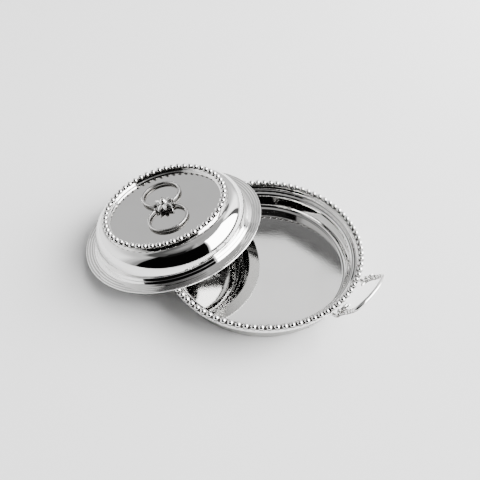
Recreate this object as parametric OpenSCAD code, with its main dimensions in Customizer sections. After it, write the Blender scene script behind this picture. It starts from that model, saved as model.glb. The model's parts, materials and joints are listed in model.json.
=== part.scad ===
// Small round covered dish for a dressing table: a beaded bowl with one raised loop handle, and a
// domed lid with two finger rings. The lid is off and leans on the bowl. Millimetres, +Z up; the
// origin is on the table, on the bowl's axis.

/* [Bowl] */
// Radius of the rim, to the middle of its beads
rim_r = 60; // [54:0.5:75]
// Height of the middle of the rim's beads above the table
rim_h = 17.5; // [15:0.1:26]
// Inward lean of the wall, from the ledge down to the floor
wall_lean = 0.6; // [0:0.1:6]
// Thickness of the floor that the bowl stands on
floor_h = 1.8; // [1:0.1:3]
// Thickness of the bowl's sheet
bowl_sheet = 1.1; // [0.7:0.05:1.4]
// Width of the ledge inside the rim that carries the lid
ledge_w = 4.8; // [4:0.1:5.5]
// Depth of the ledge below the top of the turned-out rim
ledge_drop = 3.7; // [2.4:0.05:4.4]
// Rounding of the ledge's inner edge
ledge_round = 2.5; // [1.5:0.05:2.6]

/* [Beads] */
// Diameter of a bead
bead_d = 3.8; // [3:0.1:4]
// Gap between one bead and the next, along the row
bead_gap = 0.6; // [0.3:0.05:2]
// Depth that a bead sinks into its strip
bead_sink = 1.6; // [0.8:0.05:1.8]
// Width of the strip that carries the beads
strip_w = 2.8; // [2:0.1:3.3]
// Thickness of the rim's strip
strip_t = 0.6; // [0.4:0.05:1]
// Thickness of the lid's strip, which stands higher
lid_strip_t = 1.8; // [1:0.1:2.2]

/* [Handle] */
// Direction of the handle, seen from above
handle_az = -37; // [-90:1:0]
// Diameter of the handle's wire
wire_d = 2.3; // [1.6:0.1:3]
// Half the distance between the handle's legs
leg_half = 15.6; // [11:0.1:20]
// Slope of the loop above the level
handle_rise = 51; // [35:1:65]
// Length of the loop along its slope
handle_len = 17.9; // [14:0.1:26]
// Radius that the outer bar bows to
bow_r = 29.6; // [24:0.1:45]
// Inner radius of the loop's two corners, to the middle of the wire
corner_r = 3; // [2:0.1:6]
// Length of the leaf over each foot
leaf_len = 8; // [6:0.1:11]
// Width of that leaf
leaf_w = 6.4; // [4.5:0.1:8]

/* [Lid] */
// Gap between the closed lid's brim and the rim's beads
lid_gap = 0.2; // [0.15:0.05:1]
// Thickness of the lid's sheet
lid_sheet = 0.9; // [0.6:0.05:1.2]
// Width of the flat brim
brim_w = 6.2; // [4:0.1:9]
// Width of each of the two mouldings between brim and shoulder
step_w = 1.1; // [0.8:0.05:1.4]
// Height of each moulding
step_h = 1.7; // [1.3:0.05:1.9]
// Radius of the bead row on the lid
lid_row_r = 38.4; // [33:0.1:39.5]
// Height of the seat of the lid's bead row above the brim's underside
crown_h = 17.2; // [14:0.1:24]
// Depth of the plate below that seat
plate_drop = 0.4; // [0.3:0.1:2]

/* [Rings] */
// Radius of a finger ring, to the middle of its wire
ring_r = 12.1; // [9.5:0.1:13.5]
// Diameter of the ring's wire
ring_d = 2.3; // [1.6:0.1:2.6]
// Diameter of the straight bar that the ring turns on
bar_d = 1.9; // [1.3:0.05:2]
// Distance of each bar from the knot's middle
bar_off = 2.1; // [1.95:0.05:2.6]
// Radial clearance of a bar in the block
bar_play = 0.08; // [0.03:0.01:0.1]
// Direction of the rings' bars on the lid
knot_turn = -143.6; // [-180:0.1:180]
// Reach of the knot's leaves from its middle
rosette_r = 8.4; // [7.8:0.1:9.5]
// Thread diameter of the knot's screw
screw_d = 1.6; // [1.2:0.1:1.6]

/* [Lid's place] */
// Distance of the leaning lid's middle from the bowl's axis
lean_dist = 61; // [58:0.1:66]
// Direction of the leaning lid from the bowl
lean_az = 159.3; // [90:0.1:230]
// Gap left under the brim's lowest edge and over the beads that carry it
rest_gap = 0.15; // [0.05:0.01:0.4]

/* [Hidden] */
$fn = 96;
silver = [0.82, 0.82, 0.81];
fit = 0.02;                    // clearance between fixed neighbours
small = 0.01;

// Bowl heights and radii, from the bead row down
strip_top = rim_h - bead_d / 2 + bead_sink;
flange_top = strip_top - strip_t;
band_r = rim_r - strip_w / 2;  // inner face of the band below the beads
ledge_z = flange_top - ledge_drop;
wall_r = band_r - ledge_w;     // inner face of the wall at the ledge
floor_r = wall_r - wall_lean;  // the same face at the floor
strip_out = rim_r + strip_w / 2;
bead_foot = 0.3;               // depth of a bead's flat underside below the top of its strip
crease_r = 3;                  // inside the floor's corner
toe_r = 1.3;                   // outside it
cove_r = 1.2;                  // between the ledge and the band

// Lid radii and heights, above the brim's underside
lid_r = rim_r - bead_d / 2 - lid_gap;
edge = lid_sheet / 3;          // rounding of the brim's edge
brim_in = lid_r - brim_w;
riser_in = 0.73;               // a moulding's sloping face, as a share of its width
riser_up = 0.94;               // and of its height
side_r = brim_in - 2 * step_w + 0.05;
side_h = lid_sheet + 1.5;      // middle of the flank's oval
seat_out = lid_row_r + strip_w / 2 + 0.4;
seat_in = lid_row_r - strip_w / 2 - 0.4;
flank_low = asin((lid_sheet + 2 * step_h + 0.4 - side_h) / (crown_h - side_h));
plate_z = crown_h - plate_drop;
plate_r = seat_in - 0.8;

// Knot heights above the plate
chord_sag = 1.45;              // how far the bar cuts into the ring's circle
ball_d = ring_d + 0.4;
bar_z = ball_d / 2 + 0.15;
base_h = bar_z + ball_d / 2 + 0.05;
base_x = sqrt(ring_r * ring_r - pow(ring_r - chord_sag, 2)) - ball_d / 2 - 0.2;
base_y = bar_off + bar_d / 2 + bar_play + 0.45;
ring_mid = bar_off + ring_r - chord_sag;
ring_half = acos((ring_r - chord_sag) / ring_r);
eye_r = 2.6;                   // the rosette's middle disc
eye_h = 1.9;
petal_t = 0.8;
petal_root = 0.8;              // where a petal starts, from the knot's middle
petal_drop = 12.5;             // slope down of the six petals between the rings' bars
petal_lift = 9;                // slope up of the two petals over the bars' ends
washer_t = 0.4;
nut_h = 1.3;
head_r = 1.9;

// Handle, in its own upright plane: outwards and up
foot_z = flange_top - 1.3;
foot_s = strip_out + 0.4;
elbow_r = 1.9;
elbow_turn = 75;
sway_r = 5;
elbow_s = foot_s + elbow_r * sin(elbow_turn);
elbow_z = foot_z + elbow_r * (1 - cos(elbow_turn));
leg_s = elbow_s + sway_r * (sin(elbow_turn) - sin(handle_rise));
leg_z = elbow_z + sway_r * (cos(handle_rise) - cos(elbow_turn));
bow_mid = handle_len - bow_r;
corner_off = leg_half - corner_r;
leg_len = bow_mid + sqrt(pow(bow_r - corner_r, 2) - pow(corner_off, 2));
bow_half = asin(corner_off / (bow_r - corner_r));
leaf_t = 0.9;
seam_d = wire_d + 0.06;        // solder bead where two lengths of wire meet

// The lid leans with its brim's lowest edge on the table and its underside on two beads: at the
// tilt where its plane just passes over the beads that cross the brim's inner edge
brim_flat = lid_r - edge;
hollow_r = brim_in - lid_sheet;
cross_d = (lean_dist * lean_dist + hollow_r * hollow_r - rim_r * rim_r) / (2 * lean_dist);
function rest_error(a) = rest_gap + brim_flat * sin(a) + cross_d * tan(a)
    - rim_h - (bead_d / 2 + rest_gap) / cos(a);
function rest_slope(a) = (brim_flat * cos(a) + cross_d / pow(cos(a), 2)) * PI / 180;
function rest_tilt(a, turns) = turns == 0 ? a : rest_tilt(a - rest_error(a) / rest_slope(a), turns - 1);
lean_tilt = rest_tilt(14, 6);
lean_h = rest_gap + brim_flat * sin(lean_tilt);

// Points of an ellipse's arc
function oval(mid, rx, ry, from, to, n) =
    [for (i = [0:n]) let (a = from + (to - from) * i / n) [mid[0] + rx * cos(a), mid[1] + ry * sin(a)]];
function bead_count(r) = round(2 * PI * r / (bead_d + bead_gap));

module on_lid() {
    translate([lean_dist * cos(lean_az), lean_dist * sin(lean_az), lean_h])
        rotate([0, 0, lean_az]) rotate([0, lean_tilt, 0]) children();
}

module on_plate() {
    on_lid() translate([0, 0, plate_z]) rotate([0, 0, knot_turn]) children();
}

// A strip with a row of beads, flat below; its underside is at z = 0
module bead_border(r, thick) {
    count = bead_count(r);
    rotate_extrude() translate([r - strip_w / 2, 0]) square([strip_w, thick]);
    for (i = [0:count - 1]) rotate([0, 0, 360 * i / count]) translate([r, 0, 0]) intersection() {
        translate([0, 0, thick + bead_d / 2 - bead_sink]) sphere(d = bead_d, $fn = 32);
        translate([0, 0, thick - bead_foot]) cylinder(d = bead_d + 1, h = bead_d);
    }
}

module bowl_shell() {
    t = bowl_sheet;
    color(silver) rotate_extrude($fn = 180) polygon(concat(
        [[0, 0]],
        oval([floor_r + t - toe_r, toe_r], toe_r, toe_r, -90, 0, 6),
        oval([wall_r + ledge_round, ledge_z - ledge_round], ledge_round - t, ledge_round - t, 180, 90, 6),
        [[band_r + t, ledge_z - t], [band_r + t, flange_top - t]],
        [[strip_out, flange_top - t], [strip_out, flange_top], [band_r, flange_top]],
        oval([band_r - cove_r, ledge_z + cove_r], cove_r, cove_r, 0, -90, 6),
        oval([wall_r + ledge_round, ledge_z - ledge_round], ledge_round, ledge_round, 90, 180, 8),
        oval([floor_r - crease_r, floor_h + crease_r], crease_r, crease_r, 0, -90, 6),
        [[0, floor_h]]));
}

module bowl_bead_border() {
    color(silver) translate([0, 0, flange_top + fit]) bead_border(rim_r, strip_t);
}

module arc_wire(r, turn, d) {
    rotate_extrude(angle = turn) translate([r, 0]) circle(d = d);
}

// Straight start of a foot, its end hollowed to fit the rim's edge
module foot_start(side) {
    start_s = sqrt(strip_out * strip_out - leg_half * leg_half) - 1;
    difference() {
        translate([start_s, side * leg_half, foot_z]) rotate([0, 90, 0])
            cylinder(h = foot_s - start_s, d = wire_d);
        cylinder(r = strip_out + fit, h = rim_h, $fn = 180);
    }
}

// One foot of the handle, from its straight start up round the elbow and into the leg
module foot_wire() {
    translate([foot_s, 0, foot_z + elbow_r]) rotate([90, 0, 0]) rotate([0, 0, -90])
        arc_wire(elbow_r, elbow_turn, wire_d);
    translate([elbow_s, 0, elbow_z]) sphere(d = seam_d);
    translate([elbow_s + sway_r * sin(elbow_turn), 0, elbow_z - sway_r * cos(elbow_turn)])
        rotate([90, 0, 0]) rotate([0, 0, 90 + handle_rise])
        arc_wire(sway_r, elbow_turn - handle_rise, wire_d);
    translate([leg_s, 0, leg_z]) sphere(d = seam_d);
    translate([leg_s, 0, leg_z]) rotate([0, 90 - handle_rise, 0]) cylinder(h = leg_len, d = wire_d);
}

module handle_loop() {
    color(silver) rotate([0, 0, handle_az]) {
        for (side = [-1, 1]) {
            foot_start(side);
            translate([0, side * leg_half, 0]) foot_wire();
        }
        translate([leg_s, 0, leg_z]) rotate([0, -handle_rise, 0]) {
            for (side = [0, 1]) mirror([0, side, 0]) {
                translate([leg_len, corner_off, 0]) rotate([0, 0, bow_half])
                    arc_wire(corner_r, 90 - bow_half, wire_d);
                translate([leg_len, leg_half, 0]) sphere(d = seam_d);
                translate([bow_mid + bow_r * cos(bow_half), bow_r * sin(bow_half), 0]) sphere(d = seam_d);
            }
            translate([bow_mid, 0, 0]) rotate([0, 0, -bow_half]) arc_wire(bow_r, 2 * bow_half, wire_d);
        }
    }
}

// A flat petal along +X, pointed at both ends
module petal(len, width, thick) {
    side_arc = (len * len + width * width) / (4 * width);
    linear_extrude(thick) intersection_for(side = [-1, 1])
        translate([len / 2, side * (side_arc - width / 2)]) circle(r = side_arc);
}

// A leaf of four petals that lies on the foot of one leg and spreads along the rim
module handle_leaf(side) {
    color(silver) rotate([0, 0, handle_az]) translate([leg_s, side * leg_half, leg_z])
        rotate([0, -handle_rise, 0]) translate([0, 0, seam_d / 2 + fit]) mirror([0, side > 0 ? 1 : 0, 0]) {
            cylinder(r = leaf_w / 4, h = leaf_t);
            petal(leaf_len, leaf_w * 0.5, leaf_t);
            rotate([0, 0, 40]) petal(leaf_len, leaf_w * 0.5, leaf_t);
            rotate([0, 0, 78]) petal(leaf_len, leaf_w * 0.5, leaf_t);
            rotate([0, 0, -42]) petal(leaf_len * 0.55, leaf_w * 0.45, leaf_t);
        }
}

// Outer and inner outline of the lid's section, brim to plate
function lid_outside() = concat(
    [[brim_flat, 0], [lid_r, edge], [lid_r, lid_sheet - edge], [brim_flat, lid_sheet], [brim_in, lid_sheet]],
    [for (i = [0:1]) each [
        [brim_in - (i + riser_in) * step_w, lid_sheet + (i + riser_up) * step_h],
        [brim_in - (i + 1) * step_w, lid_sheet + (i + 1) * step_h]]],
    oval([seat_out, side_h], side_r - seat_out, crown_h - side_h, flank_low, 90, 18),
    [[seat_in, crown_h], [plate_r, plate_z], [screw_d / 2 + 0.1, plate_z]]);
function lid_inside() = concat(
    [[screw_d / 2 + 0.1, plate_z - lid_sheet], [plate_r + 0.7, plate_z - lid_sheet],
        [seat_in + 0.6, crown_h - lid_sheet]],
    oval([seat_out, side_h], side_r - seat_out - lid_sheet, crown_h - side_h - lid_sheet, 90, flank_low, 18),
    [for (i = [1:-1:0]) each [
        [brim_in - (i + 1) * step_w - lid_sheet, (i + 1) * step_h],
        [brim_in - (i + riser_in) * step_w - lid_sheet, (i + riser_up) * step_h]]],
    [[hollow_r, 0]]);

module lid_shell() {
    color(silver) on_lid() rotate_extrude($fn = 180) polygon(concat(lid_outside(), lid_inside()));
}

module lid_bead_border() {
    color(silver) on_lid() translate([0, 0, crown_h + fit]) bead_border(lid_row_r, lid_strip_t);
}

// Block on the plate with a bore for each ring's bar
module knot_base() {
    color(silver) on_plate() difference() {
        intersection() {
            translate([-base_x, -base_y, fit]) cube([2 * base_x, 2 * base_y, base_h - fit]);
            cylinder(r = base_x + 0.9, h = base_h);
        }
        for (side = [-1, 1]) translate([-base_x - 1, side * bar_off, bar_z])
            rotate([0, 90, 0]) cylinder(h = 2 * base_x + 2, r = bar_d / 2 + bar_play);
        translate([0, 0, -1]) cylinder(h = base_h + 2, r = screw_d / 2 + fit);
    }
}

// Eight petals round a disc: two rise over the ends of the rings' bars, six droop between the wires
module leaf_rosette() {
    color(silver) on_plate() translate([0, 0, base_h + fit]) difference() {
        union() {
            cylinder(r = eye_r, h = eye_h);
            for (turn = [0, 180]) rotate([0, 0, turn]) translate([petal_root, 0, 0.1])
                rotate([0, -petal_lift, 0]) petal(rosette_r - 1.2 - petal_root, 2.6, petal_t);
            for (turn = [52, 90, 128, 232, 270, 308]) rotate([0, 0, turn])
                translate([petal_root, 0, eye_h - petal_t - 0.05])
                rotate([0, petal_drop, 0]) petal(rosette_r - petal_root, 2.6, petal_t);
        }
        translate([0, 0, -1]) cylinder(r = screw_d / 2 + fit, h = eye_h + 2);
    }
}

module centre_screw() {
    head_z = base_h + eye_h + 2 * fit;
    tail_z = -lid_sheet - washer_t - nut_h - 0.8;
    color(silver) on_plate() {
        translate([0, 0, tail_z]) cylinder(d = screw_d, h = head_z - tail_z + small);
        intersection() {
            translate([0, 0, head_z]) sphere(r = head_r);
            translate([0, 0, head_z]) cylinder(r = head_r, h = head_r);
        }
    }
}

module knot_washer() {
    color(silver) on_plate() translate([0, 0, -lid_sheet - washer_t - fit]) difference() {
        cylinder(r = screw_d * 1.35, h = washer_t);
        translate([0, 0, -1]) cylinder(d = screw_d + 2 * fit, h = washer_t + 2);
    }
}

module knot_nut() {
    color(silver) on_plate() translate([0, 0, -lid_sheet - washer_t - nut_h - 2 * fit]) difference() {
        cylinder(d = screw_d * 2.2, h = nut_h, $fn = 6);
        translate([0, 0, -1]) cylinder(d = screw_d + 2 * fit, h = nut_h + 2);
    }
}

// A finger ring that lies flat: most of a circle, closed by a straight bar between two balls
module finger_ring() {
    ball_x = ring_r * sin(ring_half);
    translate([0, ring_mid, bar_z]) rotate([0, 0, ring_half - 90])
        rotate_extrude(angle = 360 - 2 * ring_half) translate([ring_r, 0]) circle(d = ring_d);
    translate([-ball_x, bar_off, bar_z]) rotate([0, 90, 0]) cylinder(d = bar_d, h = 2 * ball_x);
    for (side = [-1, 1]) translate([side * ball_x, bar_off, bar_z]) sphere(d = ball_d);
}

module ring_rear() {
    color(silver) on_plate() finger_ring();
}

module ring_front() {
    color(silver) on_plate() rotate([0, 0, 180]) finger_ring();
}

bowl_shell();
bowl_bead_border();
handle_loop();
handle_leaf(-1);  // handle_leaf_front
handle_leaf(1);  // handle_leaf_rear
lid_shell();
lid_bead_border();
knot_base();
leaf_rosette();
centre_screw();
knot_washer();
knot_nut();
ring_front();
ring_rear();
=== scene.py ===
# %% [markdown]
# # A covered trinket dish in polished silver plate
#
# The dish is a shallow round bowl with a row of beads soldered round its rim and one loop handle.
# Its lid is off: it leans on the left of the bowl, with two finger rings that lie flat on its sunk
# top. Both halves are spun: a disc of sheet is pressed over a turning former, so every section of
# them is a lathe section. That is also the quickest way to model them, one outline turned once
# round an axis. Beads, wire and leaves are made apart and soldered on, so they are separate pieces.
#
# The construction file already holds true sizes, joints and collision. This notebook adds what the
# eye needs: rounded creases, mirror-smooth surfaces, the pattern on the wires, leaves with veins,
# and a polish that has been handled. Lengths are in millimetres until a piece is put in its place.

# %% Load the construction
import json
import math

import bmesh
import bpy
from mathutils import Matrix, Vector


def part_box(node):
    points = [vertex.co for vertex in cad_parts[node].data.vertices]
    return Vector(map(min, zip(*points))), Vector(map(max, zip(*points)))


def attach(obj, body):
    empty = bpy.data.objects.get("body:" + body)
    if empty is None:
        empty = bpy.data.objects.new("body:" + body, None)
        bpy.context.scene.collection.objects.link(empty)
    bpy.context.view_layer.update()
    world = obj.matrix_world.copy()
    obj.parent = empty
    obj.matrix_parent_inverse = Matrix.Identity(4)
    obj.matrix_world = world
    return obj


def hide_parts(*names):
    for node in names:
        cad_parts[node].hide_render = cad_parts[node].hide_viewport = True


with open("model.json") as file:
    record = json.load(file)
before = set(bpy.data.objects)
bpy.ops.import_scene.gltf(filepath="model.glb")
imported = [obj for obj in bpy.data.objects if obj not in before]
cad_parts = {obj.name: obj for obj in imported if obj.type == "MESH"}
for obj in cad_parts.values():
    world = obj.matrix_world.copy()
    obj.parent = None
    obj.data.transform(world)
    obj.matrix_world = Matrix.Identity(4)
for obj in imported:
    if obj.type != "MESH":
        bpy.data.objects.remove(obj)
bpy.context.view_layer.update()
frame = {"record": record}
MM = 0.001


# %% [markdown]
# ## Frames
#
# The bowl stands upright at the origin. The lid leans, so its pieces are built upright round the Z
# axis and then carried over. The two ring hinges say where to: their shared direction is the lid's
# X, the line between them its Y, and their cross product its Z. The handle is built pointing along
# X and then turned to its place on the rim.

# %% Frames of the lid and of the handle
PLATE_Z, BAR_Z = 16.8, 1.5         # the sunk plate above the brim, the ring bars above the plate
HANDLE_AZIMUTH = math.radians(-37)
UPRIGHT = Matrix.Identity(4)

joints = {j["name"]: j for j in frame["record"]["behaviour"]["joints"]}
rear_pin = Vector(joints["rear_ring_hinge"]["pos_m"])
front_pin = Vector(joints["front_ring_hinge"]["pos_m"])
lid_x = Vector(joints["rear_ring_hinge"]["axis"]).normalized()
lid_z = lid_x.cross((rear_pin - front_pin).normalized()).normalized()
lid_y = lid_z.cross(lid_x)

plate_frame = Matrix((lid_x, lid_y, lid_z)).transposed().to_4x4()
plate_frame.translation = (rear_pin + front_pin) / 2 - lid_z * BAR_Z * MM
lid_frame = plate_frame @ Matrix.Translation((0, 0, -PLATE_Z * MM))
handle_frame = Matrix.Rotation(HANDLE_AZIMUTH, 4, "Z")
print("lid tilt", round(math.degrees(math.acos(lid_z.z)), 2), "degrees; ring bars",
      round((rear_pin - front_pin).length / MM, 2), "mm apart")

# %% [markdown]
# ## The bowl's section
#
# From the table up: a flat floor, a round crease, a nearly upright wall, a ledge that carries the
# closed lid, and a turned-out edge that the bead strip is soldered to. The creases of a pressed bowl
# are never sharp, because the sheet can't fold tighter than about its own thickness. On a mirror
# those roundings are what draws the bright and dark lines along the rim.
#
# `rounded` turns a short list of corners into such a section. A corner may have a radius, and then
# it becomes an arc with one extra point just before and after it. Those points keep the shading of
# a flat face flat right up to its crease: without them the reflections would bend across the face.

# %% Bowl section
def rounded(corners, steps=8, guard=0.12):
    """A section from corners (x, z) or (x, z, radius)."""
    pts = []
    n = len(corners)
    for i, c in enumerate(corners):
        p = Vector(c[:2])
        radius = c[2] if len(c) > 2 else 0
        if not radius:
            pts.append(p)
            continue
        before, after = Vector(corners[i - 1][:2]), Vector(corners[(i + 1) % n][:2])
        a, b = (before - p).normalized(), (after - p).normalized()
        half = a.angle(b) / 2
        reach = radius / math.tan(half)
        middle = p + (a + b).normalized() * radius / math.sin(half)
        start, end = p + a * reach, p + b * reach
        turn = (start - middle).angle_signed(end - middle)
        pts.append(start + a * min(guard, reach / 2))
        for k in range(steps + 1):
            pts.append(middle + Matrix.Rotation(-turn * k / steps, 2) @ (start - middle))
        pts.append(end + b * min(guard, reach / 2))
    return pts


SHEET, FLOOR = 1.1, 1.8            # thickness of the wall and of the floor
FOOT_R, WALL_R = 54.3, 54.9        # outside radius at the table and below the ledge
BAND_R, EDGE_R = 59.7, 61.4        # outside radius of the upright band and of the turned-out edge
LEDGE_Z, RIM_Z = 11.8, 16.6        # underside of the ledge, top of the rim
bowl_section = rounded([
    (0, 0), (FOOT_R, 0, 1.3), (WALL_R, LEDGE_Z, 1.4), (BAND_R, LEDGE_Z, 0.5),
    (BAND_R, RIM_Z - SHEET, 0.4), (EDGE_R, RIM_Z - SHEET, 0.3), (EDGE_R, RIM_Z, 0.3),
    (BAND_R - SHEET, RIM_Z, 0.3), (BAND_R - SHEET, LEDGE_Z + SHEET, 1.2),
    (WALL_R - SHEET, LEDGE_Z + SHEET, 2.5), (FOOT_R - SHEET, FLOOR, 3.0), (0, FLOOR)])
print("the bowl's section has", len(bowl_section), "points")

# %% [markdown]
# ## Turning and placing
#
# `lathe` spins a section round the Z axis, as the spinner turns the sheet on its former. A section
# that starts and ends off the axis is closed into a loop first, which gives a ring. `place` ends
# every piece: metres, place, normals, smooth shading with sharp folds left sharp, and the body
# that the piece rides on.

# %% Bowl
def lathe(section, turns=192):
    bm = bmesh.new()
    verts = [bm.verts.new((p[0], 0, p[1])) for p in section]
    edges = [bm.edges.new(pair) for pair in zip(verts, verts[1:])]
    if section[0][0] > 1e-9 and section[-1][0] > 1e-9:
        edges.append(bm.edges.new((verts[-1], verts[0])))
    bmesh.ops.spin(bm, geom=verts + edges, axis=(0, 0, 1), cent=(0, 0, 0), steps=turns,
                   angle=2 * math.pi, use_merge=True)
    bmesh.ops.remove_doubles(bm, verts=bm.verts, dist=1e-5)
    return bm


def move(bm, matrix):
    bmesh.ops.transform(bm, matrix=matrix, verts=bm.verts)
    return bm


def mesh_of(name, bm):
    """The mesh of a finished bmesh, which is freed."""
    mesh = bpy.data.meshes.new(name)
    bm.to_mesh(mesh)
    bm.free()
    return mesh


def add(name, data):
    """A new object in the scene."""
    obj = bpy.data.objects.new(name, data)
    bpy.context.scene.collection.objects.link(obj)
    return obj


def place(name, bm, where, body, node, sharp=40):
    """The finished piece: into metres and into place, with outward normals, riding on its body."""
    move(bm, where @ Matrix.Scale(MM, 4))
    bmesh.ops.recalc_face_normals(bm, faces=bm.faces)
    mesh = mesh_of(name, bm)
    mesh.shade_smooth()
    mesh.set_sharp_from_angle(angle=math.radians(sharp))
    obj = add(name, mesh)
    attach(obj, body)
    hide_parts(node)
    low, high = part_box(node)
    over = max(max((low - v.co)[k], (v.co - high)[k]) for v in mesh.vertices for k in range(3))
    print(f"{name}: {len(mesh.polygons)} faces, {over / MM:+.3f} mm past the construction's box")
    return obj


bowl = place("bowl", lathe(bowl_section), UPRIGHT, "bowl", "bowl_shell")

# %% [markdown]
# ## Beaded borders
#
# Bead wire is bought by length: half-round drops stamped on a narrow strip. A bead is a ball that
# sinks almost halfway into its strip, flat below, and one turn takes a whole number of them. The
# strip is thin on the rim and stands higher on the lid.

# %% Bead borders
SOLDER = 0.02                      # the film between a border, leaf or block and its sheet
BEAD, STRIP = 3.8, 2.8             # diameter of a bead, width of the strip
SINK, BEAD_FOOT = 1.6, 0.3         # a ball's depth below the strip's top, and its flat foot's
ROW_R, RIM_STRIP = 60, 0.6         # radius of the rim's row, height of its strip
LID_ROW_R, LID_STRIP = 38.4, 1.8
SEAT_Z = 17.2                      # where the lid's row sits, above its brim


def ball(at, radius, rings=12, turns=16):
    bm = bmesh.new()
    bmesh.ops.create_uvsphere(bm, u_segments=turns, v_segments=rings, radius=radius,
                              matrix=Matrix.Translation(at))
    return bm


def join(*parts):
    """One bmesh out of several."""
    bm = parts[0]
    for extra in parts[1:]:
        mesh = mesh_of("joined", extra)
        bm.from_mesh(mesh)
        bpy.data.meshes.remove(mesh)
    return bm


def bead_border(radius, count, thick):
    inner, outer = radius - STRIP / 2, radius + STRIP / 2
    parts = [lathe(rounded([(inner, 0), (outer, 0), (outer, thick, 0.15), (inner, thick, 0.15)],
                           steps=3, guard=0.05))]
    for i in range(count):
        a = 2 * math.pi * i / count
        at = (radius * math.cos(a), radius * math.sin(a), thick + BEAD / 2 - SINK)
        drop = ball((0, 0, 0), BEAD / 2)
        for v in drop.verts:
            v.co.z = max(v.co.z, SINK - BEAD_FOOT - BEAD / 2)
        parts.append(move(drop, Matrix.Translation(at) @ Matrix.Rotation(a, 4, "Z")))
    return join(*parts)


def raised(frame_below, height):
    return frame_below @ Matrix.Translation((0, 0, height * MM))


rim_beads = place("rim_beads", bead_border(ROW_R, 86, RIM_STRIP), raised(UPRIGHT, RIM_Z + SOLDER),
                  "bowl", "bowl_bead_border")
lid_beads = place("lid_beads", bead_border(LID_ROW_R, 55, LID_STRIP),
                  raised(lid_frame, SEAT_Z + SOLDER), "lid", "lid_bead_border")

# %% [markdown]
# ## The lid
#
# Brim with three fine engraved lines, two small mouldings, a high round shoulder, the seat of the
# bead row and the sunk plate. The outline runs once over the outside and back along the inside, a
# sheet's thickness away. The shoulder is most of a quarter of an oval, because the dome rises more
# than it reaches in.

# %% Lid
LID_SHEET = 0.9
BRIM_R, NECK_R = 57.9, 51.7        # the brim's edge and the foot of the mouldings
LINE_HALF, LINE_DEEP = 0.35, 0.12  # an engraved line
STEP_IN, STEP_UP = 1.1, 1.7        # from one moulding to the next
LIP_OUT, LIP_DOWN = 0.297, 0.102   # how far a moulding's lip hangs over
OVAL_R, OVAL_Z, OVAL_START = 40.2, 2.4, 8.94
OVAL_WIDE, OVAL_HIGH = 9.35, 14.8
PLATE_R, SLOPE_R = 35.8, 36.6      # foot and top of the short slope round the plate
SCREW_HOLE = 0.9


def oval(cx, cz, rx, rz, start, end, steps):
    out = []
    for k in range(steps + 1):
        a = math.radians(start + (end - start) * k / steps)
        out.append((cx + rx * math.cos(a), cz + rz * math.sin(a)))
    return out


outside = [(BRIM_R, 0, 0.3), (BRIM_R, LID_SHEET, 0.4)]
for line in (56.2, 54.6, 53.0):
    outside += [(line + LINE_HALF, LID_SHEET, 0.1), (line, LID_SHEET - LINE_DEEP, 0.15),
                (line - LINE_HALF, LID_SHEET, 0.1)]
outside += [(NECK_R, LID_SHEET, 0.5)]
inside = [(NECK_R - LID_SHEET, 0, 0.2)]
for i in (1, 2):
    x, z = NECK_R - i * STEP_IN, LID_SHEET + i * STEP_UP
    outside += [(x + LIP_OUT, z - LIP_DOWN, 0.3), (x, z, 0.14)]
    x, z = x - LID_SHEET, z - LID_SHEET
    inside = [(x, z), (x + LIP_OUT, z - LIP_DOWN)] + inside
outside += oval(OVAL_R, OVAL_Z, OVAL_WIDE, OVAL_HIGH, OVAL_START, 90, 32)
outside += [(SLOPE_R, SEAT_Z, 0.25), (PLATE_R, PLATE_Z, 0.25), (SCREW_HOLE, PLATE_Z)]
under = oval(OVAL_R, OVAL_Z, OVAL_WIDE - LID_SHEET, OVAL_HIGH - LID_SHEET, 90, OVAL_START, 20)
under_plate = PLATE_Z - LID_SHEET
inside = [(SCREW_HOLE, under_plate), (36.5, under_plate), (37.2, SEAT_Z - LID_SHEET)] + under + inside
lid = place("lid", lathe(rounded(outside + inside, steps=5, guard=0.08)), lid_frame, "lid", "lid_shell")

# %% [markdown]
# ## The handle's path
#
# One length of wire: out of the rim, up round an elbow, along the sloping leg, round the corner, and
# over the slightly bowed outer bar; then the same back again. Half the path is laid out as arcs and
# straights, and the other half is its mirror image.

# %% Handle path
OUT, UP, ACROSS = Vector((1, 0, 0)), Vector((0, 0, 1)), Vector((0, 1, 0))
WIRE, LEG_HALF = 2.3, 15.6         # the wire's diameter, and the legs' distance from the middle
START_X, FOOT_X, FOOT_Z = 60.0, 61.8, 15.3
STEEP, RISE = 75, 51               # degrees: the slope after the elbow, and the leg's slope
ELBOW_R, SWAY_R, CORNER_R, BOW_R = 1.9, 5, 3, 29.6
BOW_OUT = 17.9                     # from the start of the legs to the crown of the bow
LEG_STEPS = 48


def arc(middle, u, v, radius, start, end, steps=8):
    return [middle + (u * math.cos(a) + v * math.sin(a)) * radius
            for a in (math.radians(start + (end - start) * k / steps) for k in range(steps + 1))]


def uphill(degrees):
    """The direction that climbs at an angle, and the one square to it, upwards."""
    a = math.radians(degrees)
    return OUT * math.cos(a) + UP * math.sin(a), UP * math.cos(a) - OUT * math.sin(a)


foot = Vector((FOOT_X, LEG_HALF, FOOT_Z))
slope, off_slope = uphill(RISE)
sway_middle = foot + UP * ELBOW_R - uphill(STEEP)[1] * (ELBOW_R + SWAY_R)
leg_start = sway_middle + off_slope * SWAY_R
bow_half = math.degrees(math.asin((LEG_HALF - CORNER_R) / (BOW_R - CORNER_R)))
leg_len = BOW_OUT - BOW_R + math.sqrt((BOW_R - CORNER_R) ** 2 - (LEG_HALF - CORNER_R) ** 2)
corner = leg_start + slope * leg_len - ACROSS * CORNER_R
bow_middle = leg_start - ACROSS * LEG_HALF + slope * (BOW_OUT - BOW_R)

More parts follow.
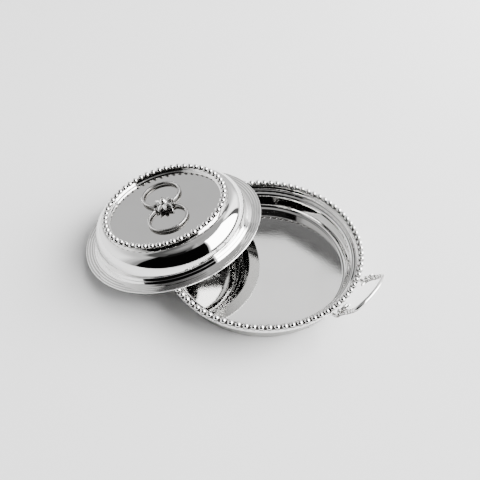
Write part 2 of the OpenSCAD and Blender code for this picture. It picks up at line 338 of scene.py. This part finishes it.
half_path = [Vector((START_X, LEG_HALF, FOOT_Z)), foot]
half_path += arc(foot + UP * ELBOW_R, OUT, UP, ELBOW_R, -90, STEEP - 90)[1:]
half_path += arc(sway_middle, OUT, UP, SWAY_R, STEEP + 90, RISE + 90, 5)[1:]
leg_first = len(half_path)
half_path += [leg_start + slope * leg_len * k / LEG_STEPS for k in range(1, LEG_STEPS + 1)]
half_path += arc(corner, slope, ACROSS, CORNER_R, 90, bow_half)[1:]
half_path += arc(bow_middle, slope, ACROSS, BOW_R, bow_half, 0, 16)[1:]
loop_path = half_path + [Vector((p.x, -p.y, p.z)) for p in half_path[-2::-1]]
print("leg starts", [round(c, 2) for c in leg_start], "leg", round(leg_len, 2), "mm long")

# %% [markdown]
# ## The handle's wire
#
# No mesh operator carries a circle along a path, so `sweep` does: at each point it keeps the ring
# square to the path and turns it as little as it can, which leaves no twist in the reflections.
# The silversmith files three small knuckles into each leg, each a short swelling of the radius.

# %% Handle
KNUCKLES = ((6.0, 0.28), (8.4, 0.24), (10.6, 0.2))      # place along the leg, and swelling
KNUCKLE_HALF = 0.9


def sweep(path, radius, sides):
    """A round wire along path; radius is a number or a function of the place along it, 0 to 1."""
    bm = bmesh.new()
    last = len(path) - 1
    size = radius if callable(radius) else lambda t: radius
    side = (path[1] - path[0]).orthogonal()
    rings = []
    for i, p in enumerate(path):
        along = (path[min(i + 1, last)] - path[max(i - 1, 0)]).normalized()
        side = (side - along * side.dot(along)).normalized()
        other = along.cross(side)
        r = size(i / last)
        rings.append([bm.verts.new(p + (side * math.cos(a) + other * math.sin(a)) * r)
                      for a in (2 * math.pi * k / sides for k in range(sides))])
    for low, high in zip(rings, rings[1:]):
        for k in range(sides):
            after = (k + 1) % sides
            bm.faces.new((low[k], low[after], high[after], high[k]))
    bm.faces.new(rings[0][::-1])
    bm.faces.new(rings[-1])
    return bm


def loop_radius(t):
    last = len(loop_path) - 1
    i = round(t * last)
    i = min(i, last - i) - leg_first
    along = leg_len * (i + 1) / LEG_STEPS
    for at, swell in KNUCKLES:
        if 0 <= i < LEG_STEPS and abs(along - at) < KNUCKLE_HALF:
            return WIRE / 2 + swell * math.cos((along - at) / KNUCKLE_HALF * math.pi / 2)
    return WIRE / 2


handle = place("handle", sweep(loop_path, loop_radius, 20), handle_frame, "bowl", "handle_loop",
               sharp=60)

# %% [markdown]
# ## Leaves
#
# Every leaf is one blade that is copied: a grid, narrowed to a point at both ends, lifted along its
# middle so that it has a bright ridge, and given side veins. A blade is closed underneath and never
# thinner than the sheet it is cut from. Three long blades, a short one and a ball make the spray
# that lies on the foot of each leg. The two sprays are mirror images, as castings from one pattern
# and its reverse are.

# %% Leaves on the handle's feet
VEIN, TIP = 0.06, 0.02             # height of a vein, half the width of a blade's point


def blade(length, width, thick, crown):
    bm = bmesh.new()
    bmesh.ops.create_grid(bm, x_segments=14, y_segments=8, size=0.5)
    for v in bm.verts:
        t, w = v.co.x + 0.5, v.co.y * 2
        half = width / 2 * math.sin(math.pi * min(max(t, 0.0), 1.0)) ** 0.8 + TIP
        vein = VEIN * math.cos((t * length * 3.2 + abs(w) * 2.2) * 2) * abs(w) * (1 - abs(w))
        ridge = crown * (1 - abs(w)) * math.sin(math.pi * t)
        v.co = (t * length, w * half, thick + ridge + vein)
    rim = [e for e in bm.edges if e.is_boundary]
    made = bmesh.ops.extrude_edge_only(bm, edges=rim)["geom"]
    for v in made:
        if isinstance(v, bmesh.types.BMVert):
            v.co.z = 0
    ends = [e for e in made if isinstance(e, bmesh.types.BMEdge) and e.is_boundary]
    bmesh.ops.contextual_create(bm, geom=ends)
    return bm


def turned(bm, degrees, at=(0, 0, 0), tip=0.0):
    """A blade tipped up by tip degrees at its root, shifted to at, and turned round the Z axis."""
    m = Matrix.Rotation(math.radians(degrees), 4, "Z") @ Matrix.Translation(at)
    return move(bm, m @ Matrix.Rotation(math.radians(-tip), 4, "Y"))


def foot_leaf(side):
    """The leaves of one foot and their frame; the rear foot's are the mirror image."""
    parts = [turned(blade(8, 3.0, 0.35, 0.5), degrees) for degrees in (0, 40, 78)]
    parts += [turned(blade(4.4, 2.6, 0.35, 0.4), -42), ball((0.4, 0.4, 0.5), 1.3)]
    for v in parts[-1].verts:
        v.co.z = max(v.co.z, 0)
    seat = Matrix((slope, ACROSS, off_slope)).transposed().to_4x4()
    seat.translation = Vector((leg_start.x, side * LEG_HALF, leg_start.z)) * MM
    mirror = Matrix.Scale(-1 if side > 0 else 1, 4, ACROSS)
    return join(*parts), raised(handle_frame @ seat @ mirror, WIRE / 2 + 0.05)


foot_leaves = [place(f"foot_leaf_{label}", *foot_leaf(side), "bowl", f"handle_leaf_{label}")
               for label, side in (("front", -1), ("rear", 1))]

# %% [markdown]
# ## The knot
#
# A small block on the plate holds the straight bars of both rings. A rosette of eight leaves hides
# it: two rise over the bars, six droop into the rings' openings. One screw goes through rosette,
# block and lid into a washer and nut under the plate. The block and the nut start as plain solids,
# and a narrow bevel on their edges catches the light as a filed edge does.

# %% Block and rosette
BLOCK_H, BLOCK_X, BLOCK_Y = 2.9, 4.19, 3.58      # height, half length, half width
COLLAR_R, COLLAR_H = 2.6, 1.9                    # the rosette's middle


def soften(bm, offset, segments):
    bmesh.ops.bevel(bm, geom=list(bm.edges), offset=offset, offset_type="OFFSET",
                    segments=segments, profile=0.5, affect="EDGES", material=-1)


block = bmesh.new()
bmesh.ops.create_cube(block, size=1)
for v in block.verts:
    v.co = (v.co.x * 2 * BLOCK_X, v.co.y * 2 * BLOCK_Y,
            SOLDER + (v.co.z + 0.5) * (BLOCK_H - SOLDER))
soften(block, 0.35, 3)
knot_block = place("knot_block", block, plate_frame, "lid", "knot_base")

rosette_parts = [lathe(rounded([(SCREW_HOLE, 0), (COLLAR_R, 0), (COLLAR_R, COLLAR_H, 0.6),
                                (SCREW_HOLE, COLLAR_H)], steps=5), turns=48)]
for a in (0, 180):
    rosette_parts.append(turned(blade(5.8, 2.4, 0.3, 0.5), a, at=(0.8, 0, 0.1), tip=9))
for a in (52, 90, 128, 232, 270, 308):
    rosette_parts.append(turned(blade(6.6, 2.3, 0.3, 0.5), a, at=(0.8, 0, 1.05), tip=-12.5))
rosette = place("rosette", join(*rosette_parts), raised(plate_frame, BLOCK_H + SOLDER), "lid",
                "leaf_rosette")

# %% Screw, washer and nut
HEAD_R, SHANK_R, SHANK_END = 1.9, 0.8, -3.4
WASHER_R, WASHER_HOLE, WASHER_LOW, WASHER_TOP = 2.16, 0.85, -1.32, -0.93
NUT_R, NUT_H, NUT_LOW = 1.76, 1.3, -2.64
head_z = BLOCK_H + COLLAR_H + 2 * SOLDER
screw_section = [(0, SHANK_END), (SHANK_R, SHANK_END), (SHANK_R, head_z - SOLDER)]
screw_section += oval(0, head_z, HEAD_R, HEAD_R, 0, 90, 10)
screw = place("screw", lathe(screw_section, turns=32), plate_frame, "lid", "centre_screw")
washer_section = rounded([(WASHER_HOLE, WASHER_LOW), (WASHER_R, WASHER_LOW, 0.1),
                          (WASHER_R, WASHER_TOP, 0.1), (WASHER_HOLE, WASHER_TOP)],
                         steps=3, guard=0.03)
washer = place("washer", lathe(washer_section, turns=40), plate_frame, "lid", "knot_washer")
hexagon = bmesh.new()
bmesh.ops.create_circle(hexagon, cap_ends=True, radius=NUT_R, segments=6)
grown = bmesh.ops.extrude_face_region(hexagon, geom=list(hexagon.faces))["geom"]
bmesh.ops.translate(hexagon, vec=(0, 0, NUT_H),
                    verts=[g for g in grown if isinstance(g, bmesh.types.BMVert)])
soften(hexagon, 0.12, 2)
nut = place("nut", hexagon, raised(plate_frame, NUT_LOW), "lid", "knot_nut")

# %% [markdown]
# ## The finger rings
#
# Each ring is most of a circle, closed by a straight bar between two balls. The wire is milled: its
# radius swells and shrinks every millimetre, like a string of tiny beads. The front ring is the
# rear one turned half round.

# %% Finger rings
RING_R, RING_D, BAR_D, END_BALL = 12.1, 1.8, 1.9, 1.35
BAR_OFF, SAG = 2.1, 1.45           # the bar off the plate's middle, and how far it cuts the circle
RING_DROOP = math.radians(0.8)     # the free side of a ring sinks onto the plate
NOTCHES, NOTCH, NOTCH_STEPS = 66, 0.012, 6


def finger_ring():
    half = math.acos((RING_R - SAG) / RING_R)
    start = math.degrees(half) - 90
    middle = Vector((0, BAR_OFF + RING_R - SAG, BAR_Z))
    path = arc(middle, OUT, ACROSS, RING_R, start, 180 - start, NOTCHES * NOTCH_STEPS)
    wire = sweep(path, lambda t: RING_D / 2 - NOTCH + NOTCH * math.cos(t * NOTCHES * 2 * math.pi), 14)
    pin = Matrix.Translation((0, BAR_OFF, BAR_Z))
    move(wire, pin @ Matrix.Rotation(-RING_DROOP, 4, "X") @ pin.inverted())
    left, centre, right = (Vector((RING_R * math.sin(half) * k, BAR_OFF, BAR_Z)) for k in (-1, 0, 1))
    bar = sweep([left, centre, right], BAR_D / 2, 20)
    return join(wire, bar, ball(left, END_BALL, 16, 24), ball(right, END_BALL, 16, 24))


ring_rear = place("ring_rear_wire", finger_ring(), plate_frame, "rear_ring", "ring_rear")
ring_front = place("ring_front_wire", finger_ring(), plate_frame @ Matrix.Rotation(math.pi, 4, "Z"),
                   "front_ring", "ring_front")

# %% [markdown]
# ## Shader arithmetic
#
# A finish is a set of sums on a few noise patterns. They read best as plain sums, so a small class
# wraps a socket and turns `+`, `-` and `*` into Math nodes. Every other node comes from `make`,
# which takes its kind, its settings, and the values or links of its inputs.

# %% Shader arithmetic
class Field:
    def __init__(self, tree, socket):
        self.tree, self.socket = tree, socket

    def math(self, operation, *others):
        return make(self.tree, "ShaderNodeMath", dict(enumerate((self, *others))), operation=operation)

    def __add__(self, other):
        return self.math("ADD", other)

    def __sub__(self, other):
        return self.math("SUBTRACT", other)

    def __rsub__(self, other):
        return self * -1.0 + other

    def __mul__(self, other):
        return self.math("MULTIPLY", other)

    __radd__, __rmul__ = __add__, __mul__

    def clamp(self, low, high):
        return self.math("MAXIMUM", low).math("MINIMUM", high)


def make(tree, kind, inputs=None, output=0, **settings):
    """A node, as the Field of one of its outputs; a node without outputs gives None."""
    node = tree.nodes.new(kind)
    for key, value in settings.items():
        setattr(node, key, value)
    for key, value in (inputs or {}).items():
        if isinstance(value, Field):
            tree.links.new(value.socket, node.inputs[key])
        else:
            node.inputs[key].default_value = value
    return Field(tree, node.outputs[output]) if node.outputs else None


# %% [markdown]
# ## Polish
#
# Silver plate is close to a perfect mirror, so its look is nearly all in what surrounds it. The
# finish adds what handling does: soft smudges that dull the mirror a little, hair-fine polishing
# marks, and a trace of grey tarnish. A dark silver is painted on where shade falls, as painted
# shade: between beads, under leaves and along the undersides and flanks of the wires. The bowl's
# outside wall, the rings and the inside of the lid are painted a darker silver too, as painted
# shade. The inside of the lid is seldom polished and keeps the round grooves of the spinning tool,
# which follow the distance from the lid's axis.

# %% Silver finish
BRIGHT, GREY = (0.93, 0.925, 0.915), (0.62, 0.60, 0.57)


def grooves(tree, place_at, centre):
    """Round grooves about the Z axis of the frame that centre leads to."""
    centred = make(tree, "ShaderNodeMapping", {"Vector": place_at, "Location": centre.to_translation(),
                                               "Rotation": centre.to_euler()}, vector_type="POINT")
    flat = make(tree, "ShaderNodeVectorMath", {0: centred, 1: (1.0, 1.0, 0.0)}, operation="MULTIPLY")
    off_axis = make(tree, "ShaderNodeVectorMath", {0: flat}, output="Value", operation="LENGTH")
    return make(tree, "ShaderNodeTexNoise", {"W": off_axis, "Scale": 2600.0, "Detail": 1.0},
                noise_dimensions="1D")


def silver(name, tone, tarnish, rough, smudge=0.05, marks=0.03, bump=0.02, worn=0.25, spun=None):
    """Polished silver; spun is the way into the frame that its turning grooves run round."""
    mat = bpy.data.materials.new(name)
    mat.use_nodes = True
    tree = mat.node_tree
    tree.nodes.clear()
    place_at = make(tree, "ShaderNodeTexCoord", output="Object")
    wide = make(tree, "ShaderNodeTexNoise",
                {"Vector": place_at, "Scale": 38.0, "Detail": 3.0, "Roughness": 0.55})
    fine = make(tree, "ShaderNodeTexNoise", {"Vector": place_at, "Scale": 900.0, "Detail": 2.0})
    stretched = make(tree, "ShaderNodeVectorMath", {0: place_at, 1: (60.0, 1500.0, 60.0)},
                     operation="MULTIPLY")
    lines = make(tree, "ShaderNodeTexNoise", {"Vector": stretched, "Scale": 1.0, "Detail": 1.0})
    dull = (wide - 0.5).clamp(0.0, 1.0) * 2.0
    roughness = (dull * smudge + (lines - 0.5).clamp(0.0, 1.0) * marks + rough).clamp(0.01, 0.9)
    colour = make(tree, "ShaderNodeMix", {0: dull * worn + (fine - 0.5).clamp(0.0, 1.0) * 0.1,
                                          6: (*tone, 1), 7: (*tarnish, 1)}, output=2, data_type="RGBA")
    height = fine + lines * 0.5
    if spun:
        height = height + grooves(tree, place_at, spun) * 6.0
    normal = make(tree, "ShaderNodeBump", {"Height": height, "Strength": bump, "Distance": 0.0001},
                  output="Normal")
    shader = make(tree, "ShaderNodeBsdfPrincipled", {"Base Color": colour, "Roughness": roughness,
                                                     "Metallic": 1.0, "Normal": normal})
    make(tree, "ShaderNodeOutputMaterial", {"Surface": shader})
    return mat


# A dark silver painted on as shade: it goes between beads, under leaves and on the undersides and
# flanks of the wires.
painted_shade = silver("silver_painted_shade", (0.12, 0.115, 0.11), (0.05, 0.048, 0.045), rough=0.3, smudge=0.2)
print("a silver finish has", len(painted_shade.node_tree.nodes), "nodes")

# %% [markdown]
# ## Where each finish goes
#
# `wear` gives a piece its main finish, and others to the faces that a short rule picks by their
# distance from the axis, their height, and how far they look up. The rules put painted shade, a
# dark silver, on the faces that look down or aside and in the hollows between beads.

# %% Finishes of bowl and lid
FLOOR_R, WALL_OUT_R = 50.5, 54.2   # the flat of the floor, and what counts as the wall's outside


def wear(obj, mat, others=(), upright=UPRIGHT, where=None):
    """A material, and others on the faces that where() numbers by radius, height and normal."""
    obj.data.materials.clear()
    for finish in (mat, *others):
        obj.data.materials.append(finish)
    if others:
        local = upright.inverted()
        turned_only = local.to_3x3()
        for face in obj.data.polygons:
            at, way = local @ face.center / MM, turned_only @ face.normal
            face.material_index = int(where(math.hypot(at.x, at.y), at.z, way.z))
    print(obj.name, "other finishes on", sum(f.material_index > 0 for f in obj.data.polygons), "faces")


def bowl_finish(r, z, up):
    """1 on the floor, 2 on the wall's outside and the underside, 0 elsewhere."""
    if r < FLOOR_R and up > 0.9:
        return 1
    return 2 if (r > WALL_OUT_R or up < -0.5) and z < LEDGE_Z + 0.15 else 0


# The outside wall and the underside get a darker silver: painted shade for the shadowed table that the
# wall mirrors.
wear(bowl, silver("silver_bowl", BRIGHT, GREY, rough=0.025, smudge=0.03),
     (silver("silver_floor", BRIGHT, GREY, rough=0.05, smudge=0.04),
      silver("silver_bowl_outside_painted_shade", (0.5, 0.495, 0.485), (0.25, 0.245, 0.24), rough=0.12, smudge=0.1)),
     where=bowl_finish)
# The inside of the lid gets a dark silver tone as painted shade; its round grooves are the spinning
# tool's.
shaded_lid_inside = silver("silver_painted_shade_under_lid", (0.3, 0.3, 0.296), (0.15, 0.15, 0.147), rough=0.06,
                    spun=lid_frame.inverted())
wear(lid, silver("silver_lid", BRIGHT, GREY, rough=0.03, smudge=0.04), (shaded_lid_inside,), lid_frame,
     lambda r, z, up: up < -0.01)

# %% Finishes of beads, handle and leaves
bead_silver = silver("silver_beads", BRIGHT, GREY, rough=0.04, worn=0.3)
# The strip's top and the lower halves of the beads get the dark silver as painted shade between the
# beads.
for row, seat, top in ((rim_beads, UPRIGHT, RIM_Z + SOLDER + RIM_STRIP),
                       (lid_beads, lid_frame, SEAT_Z + SOLDER + LID_STRIP)):
    wear(row, bead_silver, (painted_shade,), seat, lambda r, z, up, top=top:
         top - 0.4 < z < top + 0.55 and (z > top + 0.05 or up > 0.5))
# The wire's underside gets the dark silver as painted shade.
wear(handle, silver("silver_handle", BRIGHT, GREY, rough=0.03, smudge=0.07), (painted_shade,),
     where=lambda r, z, up: up < 0.12)
leaf_silver = silver("silver_leaves", BRIGHT, GREY, rough=0.1, smudge=0.08, bump=0.2, worn=0.5)
# The leaves' undersides get the dark silver as painted shade.
for leaf in foot_leaves:
    wear(leaf, leaf_silver, (painted_shade,), where=lambda r, z, up: up < 0.2)

# %% Finishes of the knot and the rings
# The rosette's drooping and downward faces get the dark silver as painted shade.
wear(rosette, silver("silver_rosette", BRIGHT, GREY, rough=0.06, smudge=0.08, bump=0.2, worn=0.3),
     (painted_shade,), lid_frame, lambda r, z, up: up < 0.35)
wear(knot_block, silver("silver_block", BRIGHT, GREY, rough=0.12, smudge=0.1, worn=0.6))
# The rings' silver is toned darker as painted shade, and their flanks get the dark silver as painted
# shade too.
ring_silver_painted_shade = silver("silver_rings_painted_shade", (0.7, 0.69, 0.68), (0.2, 0.2, 0.19), rough=0.05, smudge=0.06,
                     worn=0.6)
for ring in (ring_rear, ring_front):
    wear(ring, ring_silver_painted_shade, (painted_shade,), lid_frame, lambda r, z, up: up < 0.72)
wear(screw, silver("steel_screw", (0.8, 0.79, 0.77), GREY, rough=0.12, smudge=0.1, marks=0.1))
steel = silver("steel_fixings", (0.72, 0.71, 0.7), (0.4, 0.38, 0.36), rough=0.22, smudge=0.15,
               marks=0.12)
wear(washer, steel)
wear(nut, steel)

# %% [markdown]
# ## Table
#
# The table is one large plain sheet of matt white board. It is so wide that the mirror finds
# nothing but the board below the horizon.

# %% Table
TABLE_HALF = 3                     # metres
bm = bmesh.new()
bmesh.ops.create_grid(bm, x_segments=1, y_segments=1, size=TABLE_HALF)
table = add("table", mesh_of("table", bm))
white = bpy.data.materials.new("table_white")
white.use_nodes = True
board = white.node_tree.nodes["Principled BSDF"]
board.inputs["Base Color"].default_value = (0.9, 0.9, 0.9, 1)
board.inputs["Roughness"].default_value = 0.6
table.data.materials.append(white)
print("table", 2 * TABLE_HALF, "m across")

# %% [markdown]
# ## The room in the mirror
#
# A polished dish shows its surroundings more than itself. They are painted on the sky: pale walls,
# and one soft-edged panel for each thing that the metal shows, such as the large soft box on the
# right, the ceiling, a gap beside the soft box, and the black card that keeps the viewer out of the
# mirror. A panel is a patch of azimuth and elevation, and each one covers what was there before, so
# their order matters. The viewer sees a plain wall beyond the table, and only the metal sees the
# panels.

# %% Panels
def degrees_of(tree):
    """Azimuth and elevation of a direction; azimuth 0 is the viewer's right, 90 the back."""
    way = make(tree, "ShaderNodeTexCoord", output="Generated")
    split = make(tree, "ShaderNodeSeparateXYZ", {"Vector": way}).socket.node
    x, y, z = (Field(tree, socket) for socket in split.outputs)
    return y.math("ARCTAN2", x) * (180 / math.pi), z.math("ARCSINE") * (180 / math.pi)


def panel(azimuth, elevation, sides, ends, soft_sides, soft_ends):
    """1 inside a panel and 0 outside, with soft edges, all in degrees."""
    middle, half = (sides[0] + sides[1]) / 2, (sides[1] - sides[0]) / 2
    off = (azimuth - middle).math("WRAP", 180.0, -180.0).math("ABSOLUTE")
    across = ((half - off) * (1 / soft_sides) + 0.5).clamp(0.0, 1.0)
    up = ((elevation - ends[0]) * (1 / soft_ends) + 0.5).clamp(0.0, 1.0)
    down = ((ends[1] - elevation) * (1 / soft_ends) + 0.5).clamp(0.0, 1.0)
    return across * up * down


WALLS = 1.4
PANELS = (                                         # sides, ends, their softness, brightness
    ((125, 235), (-90, 26), 8, 18, 2.0),           # low part of the left wall
    ((120, 240), (35, 62), 10, 14, 0.8),           # its top lies in shade
    ((196, 260), (-90, 62), 14, 14, 0.8),          # left of the viewer
    ((210, 260), (-90, 62), 8, 8, 0.36),
    ((36, 66), (-90, 60), 5, 5, 3.3),              # bright back right corner
    ((30, 66), (-90, 9), 5, 10, 1.6),
    ((62, 100), (-90, 60), 16, 16, 1.5),           # the back wall is further off
    ((74, 128), (-90, 60), 10, 10, 0.95),
    ((99, 127), (-90, 60), 9, 9, 0.64),
    ((62, 95), (-90, 14), 10, 12, 0.85),
    ((97, 130), (39, 56), 5, 3, 0.11),             # gap in the back corner
    ((113, 125), (2, 19), 3, 4, 0.08),
    ((-60, 125), (54, 91), 20, 5, 0.48),           # ceiling, right half
    ((125, 300), (51, 91), 16, 5, 0.1),            # ceiling, left half
    ((125, 300), (66, 91), 16, 6, 0.2),
    ((0, 360), (76, 91), 1, 8, 0.42),              # ceiling, middle
    ((60, 95), (45, 54), 5, 1, 1.35),              # light strip where wall and ceiling meet
    ((28.5, 38), (3, 54), 2.5, 5, 0.13),           # gap beside the soft box
    ((-141, -38), (-1, 54), 3, 5, 0.002),          # black card round the viewer
    ((-125, -80), (48, 61), 5, 4, 0.01),
    ((-37, 28), (-1, 6), 2, 2, 0.16),              # below the soft box
    ((-35.5, 28), (6.5, 56), 1.5, 2, 14.0))        # soft box on the right
SHADES = (((74, 128), (39.5, 46.3), 3, 0.25, 0.16),    # dark beam in the back corner
          ((74, 128), (45.5, 46.3), 3, 0.25, 0.05))
SEEN_WALL = 0.9                                    # the plain wall beyond the table
print(len(PANELS) + len(SHADES), "panels")

# %% Room
def room():
    world = bpy.data.worlds.new("room")
    bpy.context.scene.world = world
    world.use_nodes = True
    tree = world.node_tree
    azimuth, elevation = degrees_of(tree)
    beam = elevation + (azimuth.clamp(70.0, 84.5) - 84.5) * 0.33       # it slopes at its right end
    glow = azimuth * 0.0 + WALLS
    for height, panels in ((elevation, PANELS), (beam, SHADES)):
        for *shape, bright in panels:
            glow = glow + (bright - glow) * panel(azimuth, height, *shape)
    looked_at = make(tree, "ShaderNodeLightPath", output="Is Camera Ray")
    glow = glow + (SEEN_WALL - glow) * looked_at
    background = tree.nodes["Background"]
    background.inputs["Color"].default_value = (1, 1, 1, 1)
    tree.links.new(glow.socket, background.inputs["Strength"])
    return tree


print("the room has", len(room().nodes), "nodes")

# %% [markdown]
# ## Lamp
#
# The soft box is what the metal shows, but a wide sky gives only faint shadows. A square lamp at
# the back right adds the soft shadow in front and on the left. It is hidden from mirrors, so that
# it doesn't show twice.

# %% Side lamp
lamp_data = bpy.data.lights.new("side_lamp", "AREA")
lamp_data.shape, lamp_data.size = "SQUARE", 0.5
lamp_data.energy = 13.0
lamp = add("side_lamp", lamp_data)
lamp.location = (0.66, 0.42, 0.5)
lamp.rotation_euler = (-lamp.location).to_track_quat("-Z", "Y").to_euler()
lamp.visible_glossy = False
print("lamp", round(lamp.location.length, 2), "m from the dish")

# %% [markdown]
# ## Camera
#
# The viewer stands in front of the dish and looks down at it, as at a dressing table.

# %% Camera
look_from, look_at = Vector((-0.0140, -0.2778, 0.3192)), Vector((-0.0140, 0.0066, 0.0177))
camera_data = bpy.data.cameras.new("camera")
camera_data.lens, camera_data.sensor_width = 50, 36
camera = add("camera", camera_data)
camera.location = look_from
camera.rotation_euler = (look_at - look_from).to_track_quat("-Z", "Y").to_euler()
bpy.context.scene.camera = camera
print("camera", round((look_at - look_from).length, 3), "m from its aim")
